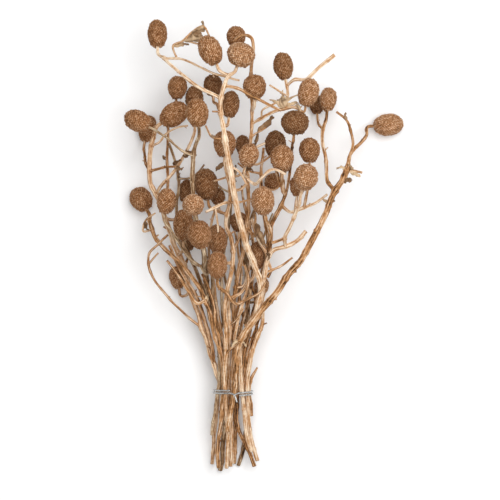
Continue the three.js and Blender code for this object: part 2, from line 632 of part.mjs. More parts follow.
function watchedPairs() {
  const pairs = { links: [], mixed: [], heads: [] };
  const middle = (l) => rings[l.a].at.clone().add(rings[l.b].at).multiplyScalar(0.5);
  const mids = links.map(middle);
  const half = links.map((l) => rings[l.a].at.distanceTo(rings[l.b].at) / 2 + rings[l.a].radius);
  const cores = heads.map((h) => ballCentre(h, h.balls[1]));
  links.forEach((l, i) => {
    for (let j = i + 1; j < links.length; j += 1) {
      if (links[j].stem === l.stem) continue;
      if (mids[i].distanceTo(mids[j]) < half[i] + half[j] + NEAR) pairs.links.push([l, links[j]]);
    }
    heads.forEach((h, j) => {
      if (l.head === h) return;
      if (mids[i].distanceTo(cores[j]) < half[i] + h.length / 2 + NEAR) pairs.mixed.push([l, h]);
    });
  });
  heads.forEach((h, i) => {
    for (let j = i + 1; j < heads.length; j += 1) {
      if (cores[i].distanceTo(cores[j]) < (h.length + heads[j].length) / 2 + NEAR) {
        pairs.heads.push([h, heads[j]]);
      }
    }
  });
  return pairs;
}

function keepShape(stiffness) {
  for (const { a, b, rest } of links) {
    const off = rings[b].at.clone().sub(rings[a].at).sub(rest).multiplyScalar(stiffness / 2);
    rings[a].at.add(off);
    rings[b].at.sub(off);
  }
  for (const head of heads) {
    const { end, before } = head;
    const fit = rings[end].home.clone().sub(rings[before].home);
    const off = rings[end].at.clone().sub(rings[before].at).sub(fit).multiplyScalar(0.5);
    rings[end].at.sub(off);
    rings[before].at.add(off);
  }
}

function lowest(head) {
  const core = ballCentre(head, head.balls[1]);
  const across = (head.width / 2) ** 2 * (1 - head.axis.z ** 2);
  return core.z - Math.sqrt(across + (head.length / 2) ** 2 * head.axis.z ** 2);
}

function pushApart(pairs) {
  for (const [p, q] of pairs.links) {
    const near = closest(rings[p.a].at, rings[p.b].at, rings[q.a].at, rings[q.b].at);
    const thick = (l, share) => THREE.MathUtils.lerp(rings[l.a].radius, rings[l.b].radius, share);
    const wanted = thick(p, near.s) + thick(q, near.t) + SETTLE_GAP;
    const lift = rings[q.a].home.z >= rings[p.a].home.z ? 1 : -1;
    const step = pushStep(near.from, near.to, wanted, lift);
    if (!step) continue;
    shiftLink(p, near.s, step.clone().multiplyScalar(-0.5));
    shiftLink(q, near.t, step.clone().multiplyScalar(0.5));
  }
  for (const [l, h] of pairs.mixed) {
    for (const ball of h.balls) {
      const c = ballCentre(h, ball);
      const near = closest(rings[l.a].at, rings[l.b].at, c, c.clone().addScaledVector(UP, 1e-3));
      const wanted = rings[l.a].radius + ball.radius + HEAD_MARGIN + SETTLE_GAP;
      const lift = rings[h.end].home.z >= rings[l.a].home.z ? 1 : -1;
      const step = pushStep(near.from, c, wanted, lift);
      if (!step) continue;
      shiftLink(l, near.s, step.clone().multiplyScalar(-0.4));
      moveHead(h, step.multiplyScalar(0.6));
    }
  }
  for (const [g, h] of pairs.heads) {
    for (const one of g.balls) {
      for (const two of h.balls) {
        const wanted = one.radius + two.radius + HEAD_MARGIN + SETTLE_GAP;
        const lift = rings[h.end].home.z >= rings[g.end].home.z ? 1 : -1;
        const step = pushStep(ballCentre(g, one), ballCentre(h, two), wanted, lift);
        if (!step) continue;
        moveHead(g, step.clone().multiplyScalar(-0.5));
        moveHead(h, step.multiplyScalar(0.5));
      }
    }
  }
}

function layOnTable() {
  for (const ring of rings) ring.at.z = Math.max(ring.at.z, ring.radius + 0.1);
  for (const head of heads) {
    const low = lowest(head);
    const rests = RESTING_HEADS.includes(head.key);
    if (low < 0 || rests) moveHead(head, new THREE.Vector3(0, 0, rests ? -low : 0.1 - low));
  }
}

let pairs = null;
for (let round = 0; round < SETTLE_ROUNDS; round += 1) {
  if (round % 12 === 0) pairs = watchedPairs();
  const late = round / SETTLE_ROUNDS;
  keepShape(late > 0.9 ? 0.02 : 0.35 * (1 - late));
  layOnTable();
  pushApart(pairs);
}

// ---- solids ----
// A path whose even steps fall on the ring centres themselves.
class RingPath extends THREE.CatmullRomCurve3 {
  getPointAt(u, target) {
    return this.getPoint(u, target);
  }

  getTangentAt(u, target) {
    return this.getTangent(u, target);
  }

  getSpacedPoints(divisions) {
    return this.getPoints(divisions);
  }
}

function polygon(sides) {
  const corners = [];
  for (let i = 0; i < sides; i += 1) {
    const turn = (2 * Math.PI * i) / sides;
    corners.push(new THREE.Vector2(Math.cos(turn), Math.sin(turn)));
  }
  return new THREE.Shape(corners);
}

// A closed round rod through the points, with its own radius at each.
function rod(points, radii, sides) {
  const extrudePath = new RingPath(points, false, "centripetal");
  const geometry = new THREE.ExtrudeGeometry(polygon(sides), {
    steps: points.length - 1,
    curveSegments: 1,
    extrudePath,
  });
  const place = geometry.attributes.position;
  const v = new THREE.Vector3();
  for (let i = 0; i < place.count; i += 1) {
    v.fromBufferAttribute(place, i);
    let ring = 0;
    points.forEach((p, k) => {
      if (p.distanceTo(v) < points[ring].distanceTo(v)) ring = k;
    });
    v.sub(points[ring]).multiplyScalar(radii[ring]).add(points[ring]);
    place.setXYZ(i, v.x, v.y, v.z);
  }
  return geometry;
}

function toSolid(geometry) {
  const bare = new THREE.BufferGeometry();
  bare.setAttribute("position", geometry.getAttribute("position"));
  const merged = mergeVertices(bare, 1e-4);
  return new wasm.Manifold(
    new wasm.Mesh({
      numProp: 3,
      vertProperties: merged.attributes.position.array,
      triVerts: new Uint32Array(merged.index.array),
    }),
  );
}

function toGeometry(solid) {
  const mesh = solid.getMesh();
  const geometry = new THREE.BufferGeometry();
  geometry.setAttribute("position", new THREE.BufferAttribute(mesh.vertProperties, 3));
  geometry.setIndex(new THREE.BufferAttribute(mesh.triVerts, 1));
  geometry.computeVertexNormals();
  return geometry;
}

const bundle = new THREE.Group();

function addPiece(name, geometry, color, roughness, metalness) {
  const material = new THREE.MeshStandardMaterial({ color, roughness, metalness });
  const mesh = new THREE.Mesh(geometry, material);
  mesh.name = name;
  bundle.add(mesh);
  return mesh;
}

// Stems with their twigs.
const STEM_COLOURS = { stem_left_outer: 0xa87546, stem_left_grey: 0x9c7f60, stem_right_outer: 0xd2ab79 };
for (const stem of Object.keys(STEMS)) {
  const rods = chains
    .filter((chain) => chain.stem === stem)
    .map(({ ids, sides }) => {
      const points = ids.map((id) => rings[id].at);
      const radii = ids.map((id) => rings[id].radius);
      return toSolid(rod(points, radii, sides));
    });
  const solid = wasm.Manifold.union(rods);
  addPiece(stem, toGeometry(solid), STEM_COLOURS[stem] ?? 0xc39a68, 0.85, 0);
}

// Seed heads: an egg turned on its stalk's axis, widest a little below the middle.
// Each pair is the share of half the width, and of the length.
const EGG = [
  [0, 0], [0.36, 0.01], [0.76, 0.13], [0.97, 0.34], [0.98, 0.56], [0.76, 0.81], [0.38, 0.96], [0, 1],
];
for (const head of heads) {
  const { key, axis, width, length, end } = head;
  const profile = EGG.map(([out, up]) => new THREE.Vector2((out * width) / 2, up * length));
  const mesh = addPiece(
    "seed_head_" + key.padStart(key.endsWith("b") ? 3 : 2, "0"),
    new THREE.LatheGeometry(profile, HEAD_SIDES),
    0x96724a,
    0.92,
    0,
  );
  mesh.quaternion.setFromUnitVectors(UP, axis);
  mesh.position.copy(rings[end].at).addScaledVector(axis, CLEARANCE);
}

// ---- the wire tie: two turns round the stems and a twisted tail in front ----
const WIRE_STEPS = 22; // steps in a turn
const WIRE_PITCH = WIRE_DIAMETER * 1.5;
const WIRE_SLACK = 0.1;

// Where the stems cross the tie, as circles in the XZ plane.
function crossings() {
  const circles = [];
  for (const { a, b } of links) {
    for (let i = 0; i <= 6; i += 1) {
      const p = rings[a].at.clone().lerp(rings[b].at, i / 6);
      if (Math.abs(p.y) > WIRE_PITCH * 2.5) continue;
      const radius = THREE.MathUtils.lerp(rings[a].radius, rings[b].radius, i / 6);
      circles.push({ x: p.x, z: p.z, radius });
    }
  }
  return circles;
}

function outline(circles, offset) {
  const cloud = [];
  for (const { x, z, radius } of circles) {
    for (let i = 0; i < 24; i += 1) {
      const turn = (Math.PI * i) / 12;
      const out = radius + offset;
      cloud.push(new THREE.Vector2(x + out * Math.cos(turn), z + out * Math.sin(turn)));
    }
  }
  cloud.sort((p, q) => p.x - q.x || p.y - q.y);
  const cross = (o, p, q) => (p.x - o.x) * (q.y - o.y) - (p.y - o.y) * (q.x - o.x);
  const chain = (points) => {
    const kept = [];
    for (const p of points) {
      while (kept.length > 1 && cross(kept[kept.length - 2], kept[kept.length - 1], p) <= 0) kept.pop();
      kept.push(p);
    }
    kept.pop();
    return kept;
  };
  return [...chain(cloud), ...chain([...cloud].reverse())];
}

// The hull walked at an even pace, from its highest point.
function evenLoop(hull, steps) {
  let top = 0;
  hull.forEach((p, i) => {
    if (p.y > hull[top].y) top = i;
  });
  const loop = hull.map((_, i) => hull[(i + top) % hull.length]);
  loop.push(loop[0]);
  const path = new THREE.Path(loop);
  return path.getSpacedPoints(steps).slice(0, steps);
}

const hullOffset = WIRE_DIAMETER / 2 + CLEARANCE + WIRE_SLACK;
const loop = evenLoop(outline(crossings(), hullOffset), WIRE_STEPS);
const wirePoints = [];
for (let i = 0; i <= 2 * WIRE_STEPS; i += 1) {
  const p = loop[i % WIRE_STEPS];
  const y = WIRE_PITCH * (0.5 - i / (2 * WIRE_STEPS)) * 2;
  wirePoints.push(new THREE.Vector3(p.x, y, p.y));
}
const wireRadii = (points) => points.map(() => WIRE_DIAMETER / 2);
const first = wirePoints[0];
const last = wirePoints[wirePoints.length - 1];
const tail = [
  first.clone(),
  first.clone().lerp(last, 0.5).add(new THREE.Vector3(0.4, 0, WIRE_DIAMETER * 0.55)),
  last.clone().add(new THREE.Vector3(0.6, -0.2, WIRE_DIAMETER * 0.35)),
  last.clone().add(new THREE.Vector3(1.4, -3.6, WIRE_DIAMETER * 0.8)),
  last.clone().add(new THREE.Vector3(2.1, -6.4, WIRE_DIAMETER * 0.9)),
];
const wire = toSolid(rod(wirePoints, wireRadii(wirePoints), 6)).add(toSolid(rod(tail, wireRadii(tail), 6)));
addPiece("wire_tie", toGeometry(wire), 0x8d8f90, 0.4, 0.85);

// ---- the part's origin is the middle of its footprint ----
bundle.updateMatrixWorld(true);
const box = new THREE.Box3().setFromObject(bundle, true);
const middle = box.getCenter(new THREE.Vector3());
bundle.position.set(-middle.x, -middle.y, -box.min.z);

export default bundle;
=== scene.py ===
# %% [markdown]
# # A wire-tied bundle of dried globe seed heads
# The bundle lies on a table: woody, branching stems held by two turns of wire, with 44 rough
# egg-shaped seed heads at the top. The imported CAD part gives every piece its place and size.
# This file gives each piece its real surface: ridged bark, knobby joints, spiralling florets, crumpled
# leaf scraps and dull galvanised wire.

# %% The frame
import json
import math
import random
import bmesh
import bpy
import numpy as np
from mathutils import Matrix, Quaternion, Vector, noise
from mathutils.kdtree import KDTree


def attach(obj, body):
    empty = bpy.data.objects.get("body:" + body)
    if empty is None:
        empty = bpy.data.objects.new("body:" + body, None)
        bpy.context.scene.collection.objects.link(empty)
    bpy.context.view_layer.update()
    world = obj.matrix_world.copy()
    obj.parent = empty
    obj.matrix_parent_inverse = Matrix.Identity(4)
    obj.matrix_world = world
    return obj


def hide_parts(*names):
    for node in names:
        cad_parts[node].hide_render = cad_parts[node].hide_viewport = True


noise.seed_set(7)  # without this, noise_vector is seeded by the clock
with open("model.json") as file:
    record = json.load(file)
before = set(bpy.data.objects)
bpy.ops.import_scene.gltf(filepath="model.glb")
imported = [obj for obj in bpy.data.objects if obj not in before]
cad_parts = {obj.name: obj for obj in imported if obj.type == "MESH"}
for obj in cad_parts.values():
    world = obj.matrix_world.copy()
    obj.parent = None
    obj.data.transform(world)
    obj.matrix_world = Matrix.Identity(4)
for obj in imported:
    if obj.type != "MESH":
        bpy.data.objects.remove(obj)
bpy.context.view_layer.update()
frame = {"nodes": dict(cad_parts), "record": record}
MM = 0.001
nodes = frame["nodes"]
stem_names = sorted(n for n in nodes if n.startswith("stem_"))
head_names = sorted(n for n in nodes if n.startswith("seed_head_"))
print("stems", len(stem_names), "seed heads", len(head_names))

# %% [markdown]
# ## Finding the line of every stem
# The CAD stems are rods of five or six sides, joined where a twig leaves. Everything finer is built along
# the middle of those rods, so the first job is to read that line back from the mesh. The corners of one
# ring lie close together, and the next ring is much further on. So corners joined by short edges are one
# ring, and long edges say which ring follows which. Reading the line back keeps this file free of a second
# list of stem positions, and it stays right when the part changes.

# %% Rings and links
SHORT_EDGE = 4.4 * MM
SAME_CORNER = 0.02 * MM


def rings_of(node, short):
    bm = bmesh.new()
    bm.from_mesh(node.data)
    bmesh.ops.remove_doubles(bm, verts=bm.verts, dist=SAME_CORNER)
    bm.verts.index_update()
    ring_of = {}
    members = []
    for start in bm.verts:
        if start.index in ring_of:
            continue
        found, queue = [], [start]
        ring_of[start.index] = len(members)
        while queue:
            v = queue.pop()
            found.append(v)
            for e in v.link_edges:
                w = e.other_vert(v)
                if w.index not in ring_of and e.calc_length() < short:
                    ring_of[w.index] = len(members)
                    queue.append(w)
        members.append([v.co.copy() for v in found])
    links = {}
    for e in bm.edges:
        a, b = sorted(ring_of[v.index] for v in e.verts)
        if a != b:
            links[a, b] = links.get((a, b), 0) + 1
    bm.free()
    return members, links


def line_of(node, short=SHORT_EDGE):
    """Ring middles, ring radii and the tree of links between them."""
    members, links = rings_of(node, short)
    middles = [sum(m, Vector()) / len(m) for m in members]
    radii = [sum((p - c).length for p in m) / len(m) for m, c in zip(members, middles)]
    order = sorted(links, key=lambda ab: (middles[ab[0]] - middles[ab[1]]).length)
    group = list(range(len(members)))

    def root(i):
        while group[i] != i:
            i = group[i]
        return i

    tree = {i: [] for i in range(len(members))}
    for a, b in order:
        if root(a) != root(b):
            group[root(a)] = root(b)
            tree[a].append(b)
            tree[b].append(a)
    return members, middles, radii, tree


lines = {name: line_of(nodes[name]) for name in stem_names}
print("rings read back:", sum(len(line[0]) for line in lines.values()))

# %% [markdown]
# ## From a tree of rings to a trunk and its twigs
# A trunk was made with six corners to a ring and a twig with five, so the trunk is the way that still has
# six-cornered rings ahead of it. Where nothing says more, the straightest way on is taken. A joint where a
# twig leaves is a lump of corners, and its middle is pulled back between its two neighbours.

# %% Runs of rings
TRUNK_CORNERS, TWIG_CORNERS = 6, 5
PLAIN_RING = (TWIG_CORNERS, TRUNK_CORNERS)  # a ring with any other number of corners is a lump at a joint
LUMP_SHARE = 0.8  # of a lump's own radius, where no plain ring is beside it
ROOT_SHARE, ROOT_FLARE = 0.8, 1.15  # a twig's root against the joint it leaves and against its own next ring


def ways_on(tree, i, came):
    return [j for j in tree[i] if j != came]


def leads_to_trunk(line, i, came):
    members, _, _, tree = line
    queue = [(i, came)]
    while queue:
        at, before = queue.pop()
        if len(members[at]) == TRUNK_CORNERS:
            return True
        queue += [(j, at) for j in ways_on(tree, at, before)]
    return False


def onward(line, i, came):
    """The ring that carries on from i, or None at a tip."""
    _, middles, _, tree = line
    ways = ways_on(tree, i, came)
    if not ways:
        return None
    along = (middles[i] - middles[came]).normalized() if came is not None else Vector((0, 1, 0))

    def merit(j):
        straight = (middles[j] - middles[i]).normalized().dot(along)
        return leads_to_trunk(line, j, i), straight

    return max(ways, key=merit)


def walked(line):
    """Runs of ring numbers, the trunk first and then each twig from its joint."""
    _, middles, _, tree = line
    tips = [i for i in tree if len(tree[i]) == 1]
    starts = [(None, min(tips, key=lambda i: middles[i].y))]
    runs = []
    while starts:
        came, i = starts.pop(0)
        run = [came] if came is not None else []
        while i is not None:
            run.append(i)
            on = onward(line, i, came)
            starts += [(i, j) for j in ways_on(tree, i, came) if j != on]
            came, i = i, on
        runs.append(run)
    return runs


def settled_rings(line, runs):
    """Middle and radius of every ring, with the lumps at the joints put right."""
    members, middles, radii, _ = line
    centre, girth = {}, {}
    for run in runs:
        for k, i in enumerate(run):
            if i in centre:
                continue
            centre[i], girth[i] = middles[i], radii[i]
            if len(members[i]) in PLAIN_RING or not 0 < k < len(run) - 1:
                continue
            before, after = run[k - 1], run[k + 1]
            plain = [radii[j] for j in (before, after) if len(members[j]) in PLAIN_RING]
            centre[i] = (middles[i] + (middles[before] + middles[after]) / 2) / 2
            girth[i] = max(plain) if plain else radii[i] * LUMP_SHARE
    return centre, girth


def runs_of(line):
    """Each run is a list of (middle, radius, is a joint)."""
    tree = line[3]
    runs = walked(line)
    centre, girth = settled_rings(line, runs)
    out = []
    for run in runs:
        joints = [len(tree[i]) > 2 for i in run]
        girths = [girth[i] for i in run]
        if len(run) > 1 and joints[0]:
            girths[0] = min(girths[0] * ROOT_SHARE, girths[1] * ROOT_FLARE)
        out.append([(centre[i], g, j) for i, g, j in zip(run, girths, joints)])
    return out


stem_runs = {name: runs_of(line) for name, line in lines.items()}
print("runs:", {name: len(runs) for name, runs in stem_runs.items()})

# %% [markdown]
# ## Smooth paths
# A grown stem bends gently between its joints, so a curve is drawn through the ring middles, and it is cut
# into short, even steps. Hermite pieces with slopes taken from the neighbours pass through every middle.

# %% A curve through the middles
NOT_ALONG_ANY_STEM = (0.3, 0.2, 1.0)


def fine_path(points, radii, step):
    p = np.array([tuple(v) for v in points])
    r = np.array(radii)
    chord = np.linalg.norm(np.diff(p, axis=0), axis=1)
    at = np.concatenate([[0], np.cumsum(chord)])
    if len(p) > 2:
        slope = np.gradient(p, at, axis=0)
    else:
        slope = np.repeat((p[1:] - p[:1]) / chord[0], 2, axis=0)
    count = max(3, int(round(at[-1] / step)) + 1)
    s = np.linspace(0, at[-1], count)
    k = np.clip(np.searchsorted(at, s, side="right") - 1, 0, len(chord) - 1)
    t = ((s - at[k]) / chord[k])[:, None]
    h = chord[k][:, None]
    place = ((1 + 2 * t) * (1 - t) ** 2 * p[k] + t * (1 - t) ** 2 * h * slope[k]
             + t * t * (3 - 2 * t) * p[k + 1] + t * t * (t - 1) * h * slope[k + 1])
    return place, np.interp(s, at, r), s, at


def frames_along(path):
    """Two directions square to the path at each point, carried along it without twisting."""
    tangent = np.gradient(path, axis=0)
    tangent /= np.linalg.norm(tangent, axis=1)[:, None]
    side = np.zeros_like(path)
    first = np.cross(tangent[0], NOT_ALONG_ANY_STEM)
    side[0] = first / np.linalg.norm(first)
    for i in range(1, len(path)):
        v = side[i - 1] - tangent[i] * side[i - 1].dot(tangent[i])
        side[i] = v / np.linalg.norm(v)
    return side, np.cross(tangent, side)


# %% [markdown]
# ## One ridged rod
# A rod could be a curve with a round bevel, but bark is not round: it has long ridges that wander, swollen
# joints and a slightly crooked line. So a flat grid is rolled round the path. The grid operator gives clean
# faces and a UV map that follows the fibres, and only its corners are moved.

# %% A grid rolled round a path
SEAM_GAP = 0.001 * MM


def corners_of(mesh):
    co = np.zeros(len(mesh.vertices) * 3)
    mesh.vertices.foreach_get("co", co)
    return co.reshape(-1, 3)


def point_values(mesh, name, values):
    layer = mesh.attributes.new(name, "FLOAT", "POINT")
    layer.data.foreach_set("value", np.asarray(values, dtype=np.float32))


def placed(name, data):
    """A new object in the scene, at the origin."""
    obj = bpy.data.objects.new(name, data)
    bpy.context.collection.objects.link(obj)
    return obj


def grid_mesh(name, long_steps, round_steps):
    bm = bmesh.new()
    bmesh.ops.create_grid(bm, x_segments=long_steps, y_segments=round_steps, size=0.5, calc_uvs=True)
    mesh = bpy.data.meshes.new(name)
    layer = bm.loops.layers.uv.verify()
    for face in bm.faces:
        for loop in face.loops:
            loop[layer].uv = (loop.vert.co.x + 0.5, loop.vert.co.y + 0.5)
    bm.to_mesh(mesh)
    bm.free()
    return mesh


def steps_and_turns(mesh, steps, sides):
    """The step along the path and the turn round it that belong to each corner of a flat grid."""
    co = corners_of(mesh)
    i = np.rint((co[:, 0] + 0.5) * steps).astype(int)
    j = np.rint((co[:, 1] + 0.5) * sides).astype(int)
    return i, 2 * np.pi * (j % sides) / sides


def roll(mesh, path, i, turn, out):
    """Move each corner to its place round the path, at its own distance out."""
    side, other = frames_along(path)
    co = path[i] + side[i] * (np.cos(turn) * out)[:, None] + other[i] * (np.sin(turn) * out)[:, None]
    mesh.vertices.foreach_set("co", co.ravel())


def close_seam(bm):
    """Weld the long seam and close both ends, and give back the two end faces."""
    bmesh.ops.remove_doubles(bm, verts=bm.verts, dist=SEAM_GAP)
    rims = [e for e in bm.edges if e.is_boundary]
    return bmesh.ops.holes_fill(bm, edges=rims, sides=0)["faces"]


# %% [markdown]
# ## Bark
# The relief is a sum of waves round the rod and noise along it, with sharp cracks where the waves are lowest.
# A displacement texture could do it, but worked out on the corners it is a real surface from every side. It
# is kept as an attribute as well, so that the colour is painted darker in the cracks and low places, as
# painted shade, and lighter where the bark stands out.

# %% Bark
TRUNK_SIDES, TWIG_SIDES = 30, 18
TRUNK_STEP, TWIG_STEP = 1.3 * MM, 1.2 * MM
BARE_SHARE = 0.89  # of the CAD rod, so that ridges stand out to its skin
RIDGE_DEPTH = 0.12
CRACK_DEPTH = 0.15
KNOB_SWELL, KNOB_REACH = 0.26, 2.8 * MM
WANDER, WANDER_SCALE, WANDER_EASE = 0.7 * MM, 60, 12 * MM
SHORT_ROD = 20 * MM
SHADED_BELOW, LIT_ABOVE = 25 * MM, 85 * MM  # painted shade: rods low in the bunch are painted darker, and those on top paler, as if lit
END_BARK = 0.16  # share of a cut end's radius inset as a ring round the pith; the ring keeps the pith material
FIBRE_LENGTH = 10 * MM  # of the stem to one unit of its UV map


def swollen(radii, s, knobs, rng):
    """Radii with swollen joints and leaf scars."""
    out = radii.copy()
    for at in knobs:
        out *= 1 + KNOB_SWELL * np.exp(-(((s - at) / KNOB_REACH) ** 2))
    at = rng.uniform(8, 20) * MM
    while at < s[-1] - 6 * MM:
        reach = rng.uniform(1.0, 2.2) * MM
        out *= 1 + rng.uniform(0.1, 0.26) * np.exp(-(((s - at) / reach) ** 2))
        at += rng.uniform(12, 28) * MM
    return out


def noise_round(turn, s, tightness, along, shift):
    """Noise on the skin of a rod: tightness says how fast it changes round it, along how fast up it."""
    skin = zip(np.cos(turn) * tightness, np.sin(turn) * tightness, s * along)
    return np.array([noise.noise(Vector(p) + shift) for p in skin])


def bark_relief(turn, s, ridges, lean, shift):
    """Height of the bark between about -1 and 1, and the depth of its cracks."""
    sway = np.array([noise.noise(Vector((d * 32, 0.5, 0)) + shift) for d in s])
    ridge = np.sin(turn * ridges + s * lean * 10 + sway * 6)
    rough = noise_round(turn, s, 1.3, 95, shift)
    fine = noise_round(turn, s, 4, 200, shift)
    crack = -np.clip(-ridge - 0.55, 0, 1) / 0.45
    return 0.22 * ridge + 1.0 * rough + 0.5 * fine, crack * np.clip(0.4 + 2.2 * rough, 0, 1)


def wandering(path, s, shift):
    """The path made a little crooked, but not near its ends."""
    ease = np.minimum(1, np.minimum(s, s[-1] - s) / WANDER_EASE)[:, None] * min(1, s[-1] / SHORT_ROD)
    wander = np.array([tuple(noise.noise_vector(Vector(p) * WANDER_SCALE + shift)) for p in path])
    return path + wander * WANDER * ease


def finish_rod(mesh, seed, length, start, start_girth, cut_start, shade):
    """Seam, ends, fibre map and tone of one rod. A cut start gets a ring inset round its middle, and the
    whole end, ring included, takes the pith material.
    """
    bm = bmesh.new()
    bm.from_mesh(mesh)
    layer = bm.loops.layers.uv.verify()
    for face in bm.faces:
        for loop in face.loops:
            u, v = loop[layer].uv
            loop[layer].uv = (u * length / FIBRE_LENGTH + seed * 3.7, v)
    caps = close_seam(bm)
    start_cap = min(caps, key=lambda f: (f.calc_center_median() - Vector(start)).length)
    for cap in caps:
        cap.material_index = 1
    if cut_start:
        bmesh.ops.inset_region(bm, faces=[start_cap], thickness=start_girth * END_BARK, depth=0)
        for face in start_cap.edges[0].link_faces:
            face.material_index = 1 if face is start_cap else face.material_index
    bmesh.ops.triangulate(bm, faces=[f for f in bm.faces if len(f.verts) > 4])
    bmesh.ops.recalc_face_normals(bm, faces=bm.faces)
    for face in bm.faces:
        face.smooth = face.material_index == 0
    # the tone is the rod's random tone plus painted shade on rods that lie low in the bunch
    tone = bm.verts.layers.float.new("tone")
    for v in bm.verts:
        v[tone] = shade
    bm.to_mesh(mesh)
    bm.free()


def bark_rod(name, run, seed, trunk, cut_start=False):
    rng = random.Random(seed)
    points = [c for c, _, _ in run]
    radii = [g for _, g, _ in run]
    path, girth, s, at = fine_path(points, radii, TRUNK_STEP if trunk else TWIG_STEP)
    girth = swollen(girth, s, [at[i] for i, (_, _, joint) in enumerate(run) if joint], rng)
    shift = Vector((rng.uniform(-50, 50), rng.uniform(-50, 50), 0))
    path = wandering(path, s, shift)
    steps, sides = len(path) - 1, TRUNK_SIDES if trunk else TWIG_SIDES
    mesh = grid_mesh(name, steps, sides)
    i, turn = steps_and_turns(mesh, steps, sides)
    ridges = rng.choice((5, 6, 7)) if trunk else rng.choice((3, 4))
    rise, crack = bark_relief(turn, s[i], ridges, rng.uniform(-12, 12), shift)
    roll(mesh, path, i, turn, girth[i] * (BARE_SHARE + RIDGE_DEPTH * rise + CRACK_DEPTH * crack))
    # painted shade: this relief also makes the colour dark in cracks and low places and lighter on raised
    # bark
    point_values(mesh, "relief", rise + 1.2 * crack)
    # painted shade: the lower a rod lies in the bunch, the darker its tone; rods on top are painted paler, as
    # the light falls
    height = np.clip((np.mean([p.z for p in points]) - SHADED_BELOW) / (LIT_ABOVE - SHADED_BELOW), 0, 1)
    shade = (0.6 if trunk else 0.55) * rng.random() + 0.25 * float(height)
    finish_rod(mesh, seed, s[-1], path[0], girth[0], cut_start, shade)
    return placed(name, mesh)


# %% [markdown]
# ## Joining twigs to their trunk
# A twig starts in the middle of its trunk, so the two skins cross. A Boolean union makes one skin of them,
# which is what grew on the plant. The Manifold solver is quick and keeps the UV map.

# %% Union of a stem's rods
def joined(rods):
    trunk = rods[0]
    for twig in rods[1:]:
        cut = trunk.modifiers.new("join", "BOOLEAN")
        cut.operation = "UNION"
        cut.solver = "MANIFOLD"
        cut.object = twig
        depsgraph = bpy.context.evaluated_depsgraph_get()
        mesh = bpy.data.meshes.new_from_object(trunk.evaluated_get(depsgraph), depsgraph=depsgraph)
        trunk.modifiers.clear()
        trunk.data = mesh
        bpy.data.objects.remove(twig)
    return trunk


# %% [markdown]
# Every stem also bears the stubs of side shoots that broke off when it dried. Each is a short rod of three
# rings that leans up the stem, and it joins the same union. None is put near the wire, which would cut
# through it.

# %% Broken side shoots
SPUR_SPACING = 58 * MM
SPUR_CLEAR_OF_TIE = 24 * MM


def middle_of(node):
    """The mean of a node's corners."""
    corners = node.data.vertices
    return sum((v.co for v in corners), Vector()) / len(corners)


tie_middle = middle_of(nodes["wire_tie"])
print("middle of the tie", tuple(round(c / MM) for c in tie_middle), "mm")


def gathered(rods):
    """Rods that stand apart from one another, kept in one mesh so that they are joined on in one go."""
    bm = bmesh.new()
    for rod in rods:
        bm.from_mesh(rod.data)
    bm.to_mesh(rods[0].data)
    bm.free()
    for rod in rods[1:]:
        bpy.data.objects.remove(rod)
    return rods[0]


def spurs_on(run, rng):
    """Runs of three rings for the broken shoots along one rod."""
    out = []
    at = rng.uniform(0.2, 1) * SPUR_SPACING
    for (p, g, _), (q, _, _) in zip(run, run[1:]):
        length = (q - p).length
        while at < length:
            on = (q - p).normalized()
            side = on.orthogonal().normalized()
            side.rotate(Quaternion(on, rng.uniform(0, 2 * math.pi)))
            way = (side + on * rng.uniform(0.3, 1.1)).normalized()
            root = p.lerp(q, at / length)
            reach = g + rng.uniform(1, 4) * MM
            thick = g * rng.uniform(0.38, 0.6)
            at += rng.uniform(0.5, 1.5) * SPUR_SPACING
            if abs(root.y - tie_middle.y) < SPUR_CLEAR_OF_TIE:
                continue
            bend = side.cross(on) * rng.uniform(-1, 1) * MM
            out.append([(root, thick, False), (root + way * reach * 0.55 + bend * 0.5, thick * 0.9, False),
                        (root + way * reach + bend, thick * 0.75, False)])
        at -= length
    return out


# %% Stalks that carry heads, and the finished stems
STALK_INTO_HEAD = 1.6 * MM
STALK_FLARE = 1.25
TOUCHING = 2 * MM
LONGEST_HALF_HEAD = 17 * MM


def reach_into_head(run):
    """The last ring of a stalk goes a little way into the head it carries."""
    (before, _, _), (tip, girth, joint) = run[-2:]
    on = (tip - before).normalized()
    return run[:-1] + [(tip, girth, joint), (tip + on * STALK_INTO_HEAD, girth * STALK_FLARE, False)]


def head_at(tip):
    """The head whose skin a stalk's tip touches, or None."""
    name = min(head_names, key=lambda n: (head_middles[n] - tip).length)
    skin = min((v.co - tip).length for v in nodes[name].data.vertices)
    touches = skin < TOUCHING and (head_middles[name] - tip).length < LONGEST_HALF_HEAD
    return name if touches else None


head_middles = {name: middle_of(nodes[name]) for name in head_names}
stalk_of = {}  # head name: (tip of its stalk, direction into the head)
for runs in stem_runs.values():
    for k, run in enumerate(runs):
        tip = run[-1][0]
        name = head_at(tip)
        if name and name not in stalk_of:
            stalk_of[name] = (tip.copy(), (head_middles[name] - tip).normalized())
            runs[k] = reach_into_head(run)
print("heads with a stalk:", len(stalk_of), "without:", sorted(set(head_names) - set(stalk_of)))

SEEDS_PER_STEM, FIRST_SPUR_SEED = 40, 20


def whole_stem(name, number):
    """Trunk, twigs and broken shoots of one stem, joined."""
    seed = number * SEEDS_PER_STEM
    rods = [bark_rod(name + "_bark", run, seed + k, trunk=k == 0, cut_start=k == 0)
            for k, run in enumerate(stem_runs[name])]
    rng = random.Random(number + 1)
    spurs = [spur for run in stem_runs[name] for spur in spurs_on(run, rng)]
    if spurs:
        rods.append(gathered([bark_rod(name + "_spur", spur, seed + FIRST_SPUR_SEED + k, trunk=False)
                              for k, spur in enumerate(spurs)]))
    stem = joined(rods)
    stem.data.uv_layers[0].name = "fibre"
    print(name, "faces", len(stem.data.polygons))
    return stem


stems = {name: whole_stem(name, number) for number, name in enumerate(stem_names)}

